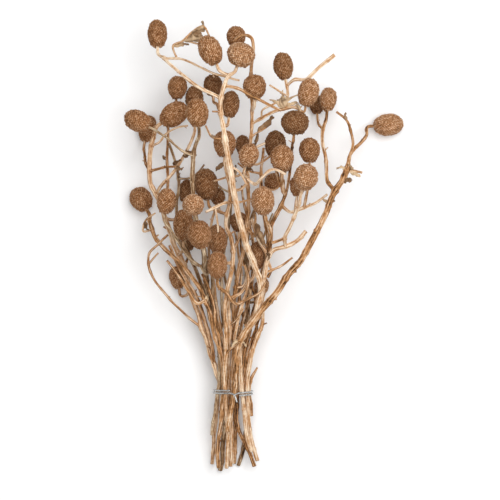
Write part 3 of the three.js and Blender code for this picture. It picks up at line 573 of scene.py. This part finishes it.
# %% [markdown]
# ## Seed heads
# A head is an egg packed with hundreds of florets, and they sit where plants put them: each one a golden
# angle on from the last. Placing a little object for each would be heavy. Instead one corner is placed for
# each floret, the convex hull operator stretches a skin over all the corners, and a subdivision puts new
# corners between them. The first corners are then drawn out and the new ones pushed in.

# %% Florets on an egg
GOLDEN_ANGLE = math.pi * (3 - math.sqrt(5))
FLORET_PITCH = 2.0 * MM
FLORET_REACH = 0.62 * FLORET_PITCH  # from a floret's tip to the bottom of the gap beside it
PACKING = 0.866  # of a square of the pitch is what one floret takes up
FLORET_SCATTER = 0.1 * MM
FLORET_HEIGHT = 1.35 * MM
FLORET_ROOT = 0.7  # share of the height that lies below the skin of the CAD egg
FLORET_LEAN = 0.3
SKIRT_END, SKIRT_FADE, SKIRT_LEAN = 0.16, 0.1, 1.6  # the lowest florets hang back over the stalk
LOST_SHARE, LOST_HEIGHT = 0.07, -0.2  # florets that fell off
LUMP_HEIGHT, LUMP_SCALE = 0.35 * MM, 130
ROUGHNESS = 0.07 * MM


def egg_girth(t):
    """Share of the half width at a share of the length, widest a little below the middle."""
    x = 2 * t ** 0.9 - 1
    return (1 - np.abs(x) ** 2.15) ** (1 / 2.15)


def head_size(name):
    """Base, axis, length and half width of the CAD head."""
    tip, axis = stalk_of[name]
    co = np.array([tuple(v.co) for v in nodes[name].data.vertices])
    along = (co - np.array(tip)) @ np.array(axis)
    away = np.linalg.norm(co - np.array(tip) - along[:, None] * np.array(axis), axis=1)
    return tip + axis * float(along.min()), axis, float(along.max() - along.min()), float(away.max())


def floret_places(name, rng):
    """The tip of each floret, and its share of the way up the head."""
    base, axis, length, half = head_size(name)
    t = np.linspace(0, 1, 400)
    girth = egg_girth(t) * half
    strip = 2 * np.pi * girth * np.hypot(np.gradient(girth, t), length)
    area = np.concatenate([[0], np.cumsum((strip[1:] + strip[:-1]) / 2 * np.diff(t))])
    count = int(area[-1] / (FLORET_PITCH ** 2 * PACKING))
    k = np.arange(count)
    up = np.interp((k + 0.5) / count * area[-1], area, t)
    turn = k * GOLDEN_ANGLE + rng.uniform(0, 6.28)
    side = np.array(axis.orthogonal().normalized())
    other = np.cross(np.array(axis), side)
    out = side[None] * np.cos(turn)[:, None] + other[None] * np.sin(turn)[:, None]
    place = np.array(base) + np.array(axis) * (up * length)[:, None] + out * (egg_girth(up) * half)[:, None]
    return place + rng.normal(0, FLORET_SCATTER, place.shape), up


def skin_over(name, place):
    """A skin stretched over the tips, with two new corners along each edge: mesh, corners and normals."""
    bm = bmesh.new()
    for p in place:
        bm.verts.new(p)
    bmesh.ops.convex_hull(bm, input=bm.verts)
    bmesh.ops.subdivide_edges(bm, edges=bm.edges, cuts=2, use_grid_fill=True)
    bmesh.ops.recalc_face_normals(bm, faces=bm.faces)
    bm.normal_update()
    normal = np.array([tuple(v.normal) for v in bm.verts])
    mesh = bpy.data.meshes.new(name)
    bm.to_mesh(mesh)
    bm.free()
    return mesh, corners_of(mesh), normal


def nearest_florets(place, co):
    """Which floret each corner belongs to, and how near it is to that floret's tip."""
    tree = KDTree(len(place))
    for n, p in enumerate(place):
        tree.insert(p, n)
    tree.balance()
    found = [tree.find(p) for p in co]
    far = np.array([distance for _, _, distance in found])
    return np.array([n for _, n, _ in found]), np.clip(1 - (far / FLORET_REACH) ** 2, 0, 1)


def seed_head(name, seed):
    rng = np.random.default_rng(seed)
    place, up = floret_places(name, rng)
    count = len(place)
    mesh, co, normal = skin_over(name + "_florets", place)
    owner, near = nearest_florets(place, co)
    height = rng.uniform(0.7, 1.2, count)
    height[rng.random(count) < LOST_SHARE] = LOST_HEIGHT
    lean = FLORET_LEAN - SKIRT_LEAN * np.clip((SKIRT_END - up) / SKIRT_FADE, 0, 1)
    lump = np.array([noise.noise(Vector(p) * LUMP_SCALE + Vector((seed * 5.1, 0, 0))) for p in co])
    grow = (near * height[owner] - FLORET_ROOT) * FLORET_HEIGHT + lump * LUMP_HEIGHT
    tilt = near * lean[owner] * height[owner] * FLORET_HEIGHT
    axis = np.array(stalk_of[name][1])
    co = co + normal * grow[:, None] + axis * tilt[:, None]
    co = co + rng.normal(0, ROUGHNESS, co.shape)
    mesh.vertices.foreach_set("co", co.ravel())
    mesh.polygons.foreach_set("use_smooth", [True] * len(mesh.polygons))
    point_values(mesh, "floret", near)
    point_values(mesh, "tone", rng.random(count)[owner])
    mesh.update()
    return placed(name + "_florets", mesh)


PALE, BETWEEN, DARK = 0.85, 0.5, 0.15
SHADE_SPREAD = 0.12
# Dark heads are partly old ones and partly painted shade, for heads that lie in shadow in the bunch.
PALE_HEADS = ("04", "15", "17", "19", "22", "27", "32", "37", "42")
DARK_HEADS = ("05", "07", "09", "14", "16", "18", "21", "23", "28", "28b", "29", "35", "36", "38", "39")


def head_shade(name, rng):
    """Young heads are pale and tan, old and shaded ones dark brown."""
    number = name.removeprefix("seed_head_")
    middle = PALE if number in PALE_HEADS else DARK if number in DARK_HEADS else BETWEEN
    return middle + rng.uniform(-SHADE_SPREAD, SHADE_SPREAD)


heads = {name: seed_head(name, seed=i + 1) for i, name in enumerate(head_names)}
shades = random.Random(8)
for name, head in heads.items():
    point_values(head.data, "shade", [head_shade(name, shades)] * len(head.data.vertices))
print("florets modelled on", len(heads), "heads, faces", sum(len(h.data.polygons) for h in heads.values()))

# %% [markdown]
# ## Scraps of dry leaf
# A few dead leaves and bracts still cling to the twigs, curled and crumpled. Each starts as a flat grid that
# is narrowed to a leaf's outline, rolled across, bent along its length and crumpled with noise. Extruding
# its faces gives it a real thickness. Its foot is moved to the nearest stem, so it hangs on whatever grows
# there.

# %% Leaves
LEAF_THICKNESS = 0.45 * MM
LEAF_LONG, LEAF_ACROSS = 22, 8
ROLL_SHARE = 0.7  # how far a rolled leaf still reaches across
CRUMPLE = 0.36  # of its width
# foot: x and y from the middle of the tie, z above the table; way it points; length, width (all in mm);
# curl in turns; tone, 0 for dark and 1 for pale
LEAVES = [
    ((-47, 347, 90), (0.75, 0.55, 0.15), 21, 9, 0.16, 0.7),
    ((-40, 354, 90), (0.95, 0.2, 0.2), 20, 8, -0.3, 0.6),
    ((-36, 342, 90), (0.9, -0.1, 0.1), 14, 7, 0.2, 0.5),
    ((-58, 338, 82), (0.8, 0.5, 0.2), 15, 6, 0.15, 0.65),
    ((-50, 231, 66), (0.5, 0.5, 0.7), 11, 7, 0.4, 0.1),
    ((-52, 227, 64), (-0.6, 0.4, 0.5), 9, 6, -0.4, 0.05),
    ((-46, 234, 67), (0.3, -0.8, 0.5), 10, 6, 0.35, 0.1),
    ((-55, 224, 62), (-0.2, -0.8, 0.5), 9, 5, 0.3, 0.2),
    ((31, 249, 80), (0.78, 0.6, 0.25), 22, 7, 0.12, 0.3),
    ((28, 243, 80), (0.1, -1, 0.1), 17, 4, 0.15, 0.05),
    ((22, 243, 78), (0.9, 0.45, 0.2), 10, 4, 0.3, 0.1),
    ((17, 219, 84), (0.9, 0.45, 0.2), 12, 4, -0.2, 0.1),
    ((52, 281, 96), (-0.5, 0.8, 0.5), 16, 5, 0.2, 0.8),
    ((53, 281, 96), (0.1, 0.95, 0.5), 19, 5, -0.15, 0.9),
    ((54, 280, 96), (0.6, 0.7, 0.5), 15, 5, 0.2, 0.75),
    ((51, 280, 96), (-0.85, 0.35, 0.4), 12, 5, 0.25, 0.7),
    ((55, 279, 96), (0.8, 0.2, 0.5), 11, 4, -0.25, 0.8),
    ((52, 284, 96), (-0.15, 1, 0.1), 17, 4, 0.3, 0.85),
    ((-12, 227, 84), (-0.9, -0.4, 0.2), 12, 5, 0.2, 0.2),
    ((21, 176, 72), (0.35, -0.9, 0.2), 24, 7, 0.12, 0.35),
    ((26, 166, 66), (0.4, -0.8, 0.4), 16, 6, -0.2, 0.25),
    ((-79, 176, 42), (-0.2, -0.9, 0.3), 10, 5, 0.25, 0.1),
    ((-1, 53, 56), (0.1, 0.95, 0.35), 14, 4, 0.4, 0.95),
    ((1, 58, 56), (-0.4, 0.8, 0.4), 9, 3, -0.4, 0.9),
    ((-80, 241, 50), (-0.7, 0.5, 0.4), 7, 4, 0.3, 0.5),
    ((-24, 83, 40), (-0.6, 0.7, 0.5), 9, 5, 0.3, 0.95),
    ((-26, 86, 44), (0.6, 0.6, 0.5), 8, 4, -0.3, 0.9),
    ((72, 283, 98), (0.9, -0.2, 0.2), 11, 4, -0.45, 0.3),
    ((-15, 210, 76), (0.9, 0.3, 0.3), 14, 4, 0.2, 0.1),
    ((-3, 213, 76), (0.9, 0.2, 0.3), 11, 4, -0.2, 0.1),
    ((-33, 118, 52), (-0.3, 0.9, 0.4), 12, 5, 0.25, 0.6),
    ((12, 128, 56), (0.5, 0.8, 0.3), 12, 5, 0.3, 0.3),
    ((10, 93, 55), (0.7, 0.6, 0.4), 10, 4, 0.3, 0.5),
    ((31, 128, 54), (0.5, 0.8, 0.3), 12, 5, 0.2, 0.2),
    ((93, 186, 60), (-0.8, 0.1, 0.3), 8, 3, 0.2, 0.6),
    ((112, 272, 34), (-0.7, 0.6, 0.3), 8, 3, 0.2, 0.5),
    ((-67, 240, 34), (-0.7, 0.2, 0.5), 7, 4, 0.5, 0.4),
    ((-22, 262, 104), (0.3, 0.8, 0.5), 9, 4, 0.3, 0.6),
    ((110, 219, 54), (0.95, -0.1, 0.2), 14, 7, 0.12, 0.95),
    ((109, 222, 54), (0.8, 0.5, 0.4), 10, 6, -0.2, 0.7),
    ((106, 224, 54), (-0.6, 0.7, 0.4), 10, 5, 0.2, 0.8),
    ((107, 215, 54), (0.5, 0.2, 0.8), 9, 7, 0.2, 0.3),
    ((50, 284, 96), (-0.3, 0.95, 0.3), 18, 3, 0.12, 0.9),
    ((54, 283, 96), (0.35, 0.9, 0.4), 20, 3, -0.12, 0.8),
]
stem_places = [(c, g) for runs in stem_runs.values() for run in runs for c, g, _ in run[:-1]]


def foot_on_stem(foot):
    """The middle of the nearest stem ring to a place given from the tie."""
    wanted = tie_middle + Vector(foot) * MM - Vector((0, 0, tie_middle.z))
    return min(stem_places, key=lambda place: (place[0] - wanted).length)[0]


def leaf_outline(t):
    """Share of the half width at a share of the length: a point at the tip and a narrow foot."""
    return np.clip(np.sin(np.pi * np.clip(t, 0, 1) ** 0.75), 0, 1) ** 0.7 * 0.92 + 0.08


def bend_leaf(mesh, foot, way, length, width, curl, seed):
    """Move a flat grid's corners to a leaf that is rolled across, bent along and crumpled."""
    rng = random.Random(seed)
    co = corners_of(mesh)
    t, u = co[:, 0] + 0.5, co[:, 1] * 2
    way = Vector(way).normalized()
    side = way.orthogonal().normalized()
    side.rotate(Quaternion(way, rng.uniform(0, 2 * math.pi)))
    up = way.cross(side)
    bend = curl * 2 * math.pi * t ** 1.5
    half = leaf_outline(t) * width / 2
    roll_angle = u * rng.uniform(1.4, 2.6)
    across = np.sin(roll_angle) * half * ROLL_SHARE
    above = (1 - np.cos(roll_angle)) * half * ROLL_SHARE
    shift = Vector((seed * 3.1, 0, 0))
    crumple = np.array([tuple(noise.noise_vector(Vector((a * 5, b * 1.6, 0)) + shift)) for a, b in zip(t, u)])
    on = length * t * np.cos(bend * 0.6)
    off = length * t * np.sin(bend * 0.6) + above
    place = (np.array(foot)[None] + np.outer(on, way) + np.outer(across, side) + np.outer(off, up)
             + crumple * (width * CRUMPLE * np.minimum(1, t * 3))[:, None])
    mesh.vertices.foreach_set("co", place.ravel())


def thickened(mesh, tone):
    """The leaf as a bmesh with two sides and a rim, and its tone on every corner."""
    bm = bmesh.new()
    bm.from_mesh(mesh)
    bpy.data.meshes.remove(mesh)
    layer = bm.verts.layers.float.new("tone")
    for v in bm.verts:
        v[layer] = tone
    bmesh.ops.recalc_face_normals(bm, faces=bm.faces)
    bm.normal_update()
    skin = bmesh.ops.extrude_face_region(bm, geom=bm.faces[:], use_keep_orig=True)["geom"]
    for v in skin:
        if isinstance(v, bmesh.types.BMVert):
            v.co += v.normal * LEAF_THICKNESS
    bmesh.ops.recalc_face_normals(bm, faces=bm.faces)
    return bm


scraps = bpy.data.meshes.new("leaf_scraps")
together = bmesh.new()
for n, (foot, way, length, width, curl, tone) in enumerate(LEAVES):
    flat = grid_mesh("leaf", LEAF_LONG, LEAF_ACROSS)
    bend_leaf(flat, foot_on_stem(foot), way, length * MM, width * MM, curl, seed=n + 1)
    leaf = thickened(flat, tone)
    leaf.to_mesh(scraps)
    leaf.free()
    together.from_mesh(scraps)
for face in together.faces:
    face.smooth = True
together.to_mesh(scraps)
together.free()
leaf_scraps = placed("leaf_scraps", scraps)
print("leaf scraps", len(LEAVES), "faces", len(scraps.polygons))

# %% [markdown]
# ## The wire
# Two turns of galvanised wire hold the stems, and their ends are twisted in front. Its line is read back
# from the CAD rings as the stems' were, and a grid rolled round the line gives a smooth round wire.

# %% Wire
WIRE_SHORT_EDGE = 1.6 * MM
WIRE_STEP, WIRE_SIDES = 0.8 * MM, 10
wire_runs = runs_of(line_of(nodes["wire_tie"], WIRE_SHORT_EDGE))
print("wire runs", [len(r) for r in wire_runs])


def wire_strand(run):
    path, girth, _, _ = fine_path([c for c, _, _ in run], [g for _, g, _ in run], WIRE_STEP)
    steps = len(path) - 1
    mesh = grid_mesh("tie_wire_strand", steps, WIRE_SIDES)
    i, turn = steps_and_turns(mesh, steps, WIRE_SIDES)
    roll(mesh, path, i, turn, girth[i])
    bm = bmesh.new()
    bm.from_mesh(mesh)
    close_seam(bm)
    bmesh.ops.recalc_face_normals(bm, faces=bm.faces)
    for face in bm.faces:
        face.smooth = True
    bm.to_mesh(mesh)
    bm.free()
    return placed("tie_wire_strand", mesh)


wire = joined([wire_strand(run) for run in wire_runs if len(run) > 2])
print("wire faces", len(wire.data.polygons))

# %% [markdown]
# ## Materials
# Bark is streaked along the fibre, so its noise is read from the rod's UV map, stretched along the stem.
# The gaps between florets are painted dark as painted shade and their tips light as a painted highlight. The
# mesh carries that as an attribute, so the colour follows the shape from every side.

# %% Material helpers
DRY_SPECULAR, WIRE_SPECULAR = 0.2, 0.5


def node_material(name, roughness):
    material = bpy.data.materials.new(name)
    material.use_nodes = True
    tree = material.node_tree
    shader = tree.nodes["Principled BSDF"]
    shader.inputs["Roughness"].default_value = roughness
    shader.inputs["Specular IOR Level"].default_value = DRY_SPECULAR
    return material, tree, shader


def ramp(tree, source, stops):
    node = tree.nodes.new("ShaderNodeValToRGB")
    elements = node.color_ramp.elements
    while len(elements) < len(stops):
        elements.new(0.5)
    for element, (at, colour) in zip(elements, stops):
        element.position = at
        element.color = (*colour, 1)
    tree.links.new(source, node.inputs["Fac"])
    return node.outputs["Color"]


def math_node(tree, operation, a, b):
    node = tree.nodes.new("ShaderNodeMath")
    node.operation = operation
    for socket, value in zip(node.inputs, (a, b)):
        if isinstance(value, (int, float)):
            socket.default_value = value
        else:
            tree.links.new(value, socket)
    return node.outputs[0]


def noise_on(tree, coordinates, scale, stretch=(1, 1, 1), detail=4):
    mapping = tree.nodes.new("ShaderNodeMapping")
    mapping.inputs["Scale"].default_value = stretch
    tree.links.new(coordinates, mapping.inputs["Vector"])
    node = tree.nodes.new("ShaderNodeTexNoise")
    node.inputs["Scale"].default_value = scale
    node.inputs["Detail"].default_value = detail
    tree.links.new(mapping.outputs["Vector"], node.inputs["Vector"])
    return node.outputs["Fac"]


MIX_COLOUR_A, MIX_COLOUR_B, MIX_COLOUR_OUT = 6, 7, 2  # the colour sockets of a Mix node


def mix_colour(tree, factor, a, b, blend="MIX"):
    node = tree.nodes.new("ShaderNodeMix")
    node.data_type = "RGBA"
    node.blend_type = blend
    sockets = node.inputs["Factor"], node.inputs[MIX_COLOUR_A], node.inputs[MIX_COLOUR_B]
    for socket, value in zip(sockets, (factor, a, b)):
        if isinstance(value, (int, float)):
            socket.default_value = value
        elif isinstance(value, tuple):
            socket.default_value = (*value, 1)
        else:
            tree.links.new(value, socket)
    return node.outputs[MIX_COLOUR_OUT]


def weighted_sum(tree, *parts):
    """The sum of (value, weight) pairs."""
    total = None
    for value, weight in parts:
        term = math_node(tree, "MULTIPLY", value, weight)
        total = term if total is None else math_node(tree, "ADD", total, term)
    return total


def object_place(tree):
    return tree.nodes.new("ShaderNodeTexCoord").outputs["Object"]


def attribute(tree, name):
    node = tree.nodes.new("ShaderNodeAttribute")
    node.attribute_name = name
    return node.outputs["Fac"]


def bump(tree, shader, height, strength, distance):
    node = tree.nodes.new("ShaderNodeBump")
    node.inputs["Strength"].default_value = strength
    node.inputs["Distance"].default_value = distance
    tree.links.new(height, node.inputs["Height"])
    tree.links.new(node.outputs["Normal"], shader.inputs["Normal"])


# %% Bark
FIBRE_STRETCH = (0.16, 3.0, 1)  # long streaks up the stem


def bark_material(name, dark, mid, light):
    material, tree, shader = node_material(name, 0.85)
    uv = tree.nodes.new("ShaderNodeUVMap")
    uv.uv_map = "fibre"
    place = object_place(tree)
    fibre = noise_on(tree, uv.outputs["UV"], 6, stretch=FIBRE_STRETCH, detail=6)
    patch = noise_on(tree, place, 60, detail=3)
    fleck = noise_on(tree, place, 420, detail=2)
    # painted shade: relief darkens cracks and low places, and tone holds each rod's random tone plus painted
    # shade on rods low in the bunch
    level = weighted_sum(tree, (fibre, 0.55), (patch, 0.45), (attribute(tree, "tone"), 0.34),
                         (fleck, 0.30), (attribute(tree, "relief"), 0.18))
    colour = ramp(tree, level, [(0.54, dark), (0.73, mid), (1.0, light)])
    tree.links.new(colour, shader.inputs["Base Color"])
    bump(tree, shader, fibre, 0.8, 0.6 * MM)
    return material


BARKS = {
    "stem_tan": bark_material("bark_tan", dark=(0.045, 0.015, 0.004), mid=(0.49, 0.237, 0.090),
                              light=(0.90, 0.74, 0.55)),
    "stem_brown": bark_material("bark_brown", dark=(0.040, 0.013, 0.003), mid=(0.38, 0.168, 0.060),
                                light=(0.82, 0.61, 0.41)),
    "stem_grey": bark_material("bark_grey", dark=(0.042, 0.019, 0.007), mid=(0.31, 0.175, 0.084),
                               light=(0.80, 0.66, 0.46)),
}
print("barks", sorted(BARKS))


# %% Pith and dead leaf
def pith_material():
    material, tree, shader = node_material("cut_pith", 0.8)
    grain = noise_on(tree, object_place(tree), 900)
    colour = ramp(tree, grain, [(0.35, (0.55, 0.40, 0.24)), (0.6, (0.85, 0.74, 0.54))])
    tree.links.new(colour, shader.inputs["Base Color"])
    return material


def leaf_material():
    material, tree, shader = node_material("dead_leaf", 0.9)
    veins = noise_on(tree, object_place(tree), 160, detail=5)
    level = weighted_sum(tree, (attribute(tree, "tone"), 0.5), (veins, 0.6))
    colour = ramp(tree, level, [(0.2, (0.07, 0.03, 0.012)), (0.5, (0.28, 0.16, 0.08)),
                                (0.85, (0.74, 0.56, 0.36))])
    tree.links.new(colour, shader.inputs["Base Color"])
    bump(tree, shader, veins, 0.5, 0.5 * MM)
    return material


pith, dead_leaf = pith_material(), leaf_material()
print("materials", pith.name, dead_leaf.name)


# %% Florets and wire
def floret_material():
    material, tree, shader = node_material("dry_florets", 0.9)
    place = object_place(tree)
    grain = noise_on(tree, place, 900, detail=3)
    mottle = noise_on(tree, place, 55, detail=2)
    # painted shade and highlight: the floret attribute makes the gaps between florets dark and their tips
    # light
    level = weighted_sum(tree, (attribute(tree, "floret"), 0.72), (attribute(tree, "tone"), 0.18),
                         (grain, 0.25))
    colour = ramp(tree, level, [(0.29, (0.035, 0.012, 0.004)), (0.48, (0.19, 0.080, 0.028)),
                                (0.72, (0.46, 0.230, 0.102)), (0.96, (0.95, 0.72, 0.51))])
    colour = mix_colour(tree, mottle, colour, (0.84, 0.76, 0.68), "MULTIPLY")
    # the shade attribute darkens old heads, and as painted shade it darkens heads that lie in shadow in the
    # bunch
    age_and_shade = ramp(tree, attribute(tree, "shade"), [(0.0, (0.40, 0.35, 0.30)), (0.5, (0.74, 0.68, 0.62)),
                                                (1.0, (1.0, 1.03, 1.08))])
    colour = mix_colour(tree, 1.0, colour, age_and_shade, "MULTIPLY")
    tree.links.new(colour, shader.inputs["Base Color"])
    bump(tree, shader, grain, 0.4, 0.3 * MM)
    return material


def wire_material():
    material, tree, shader = node_material("galvanised_wire", 0.38)
    shader.inputs["Metallic"].default_value = 0.7
    shader.inputs["Specular IOR Level"].default_value = WIRE_SPECULAR
    spangle = noise_on(tree, object_place(tree), 700)
    colour = ramp(tree, spangle, [(0.38, (0.23, 0.23, 0.225)), (0.60, (0.68, 0.675, 0.66))])
    tree.links.new(colour, shader.inputs["Base Color"])
    return material


florets, galvanised = floret_material(), wire_material()
print("materials", florets.name, galvanised.name)

# %% Dressing every piece
slots = {row["node"]: row["material_slot"] for row in frame["record"]["subparts"]}
for name, stem in stems.items():
    stem.data.materials.clear()
    stem.data.materials.append(BARKS[slots[name]])
    stem.data.materials.append(pith)
    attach(stem, "root")
    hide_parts(name)
for name, head in heads.items():
    head.data.materials.append(florets)
    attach(head, "root")
    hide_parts(name)
scraps.materials.append(dead_leaf)
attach(leaf_scraps, "root")
wire.data.materials.clear()
wire.data.materials.append(galvanised)
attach(wire, "root")
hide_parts("wire_tie")

# %% [markdown]
# ## Floor, light and camera
# The bundle lies on a plain white table. A broad soft light comes from above and to the right, and a bright
# even sky fills the shadows. The camera looks straight down through a long lens, so the spray is seen flat.

# %% Studio
TABLE_HALF_WIDTH = 3
TABLE_WHITE = 0.93
SKY_STRENGTH = 0.36
bm = bmesh.new()
bmesh.ops.create_grid(bm, x_segments=1, y_segments=1, size=TABLE_HALF_WIDTH)
floor_mesh = bpy.data.meshes.new("table_top")
bm.to_mesh(floor_mesh)
bm.free()
floor = placed("table_top", floor_mesh)
pale, _, shader = node_material("pale_table", 0.7)
shader.inputs["Base Color"].default_value = (TABLE_WHITE, TABLE_WHITE, TABLE_WHITE, 1)
floor_mesh.materials.append(pale)

world = bpy.data.worlds.new("studio")
world.use_nodes = True
world.node_tree.nodes["Background"].inputs["Color"].default_value = (1, 1, 1, 1)
world.node_tree.nodes["Background"].inputs["Strength"].default_value = SKY_STRENGTH
bpy.context.scene.world = world
bpy.context.scene.view_settings.view_transform = "Standard"

LIT_PLACE = Vector((0, 0, 0.05))


def area_light(name, place, size, power):
    light = bpy.data.lights.new(name, "AREA")
    light.shape = "DISK"
    light.size = size
    light.energy = power
    lamp = placed(name, light)
    lamp.location = place
    lamp.rotation_euler = (LIT_PLACE - Vector(place)).to_track_quat("-Z", "Y").to_euler()


area_light("key", (0.35, 0.3, 1.5), size=1.5, power=25)
area_light("fill", (-0.9, -0.3, 1.6), size=1.4, power=5)

VIEW_MIDDLE = Vector((-15.1, -1.9, 65)) * MM
VIEW_HEIGHT = 491.3 * MM
LENS = 200
SENSOR = 36
camera_data = bpy.data.cameras.new("camera")
camera_data.lens = LENS
camera_data.sensor_width = SENSOR
camera = placed("camera", camera_data)
camera.location = VIEW_MIDDLE + Vector((0, 0, VIEW_HEIGHT * LENS / SENSOR))
camera_data.clip_end = 20
bpy.context.scene.camera = camera
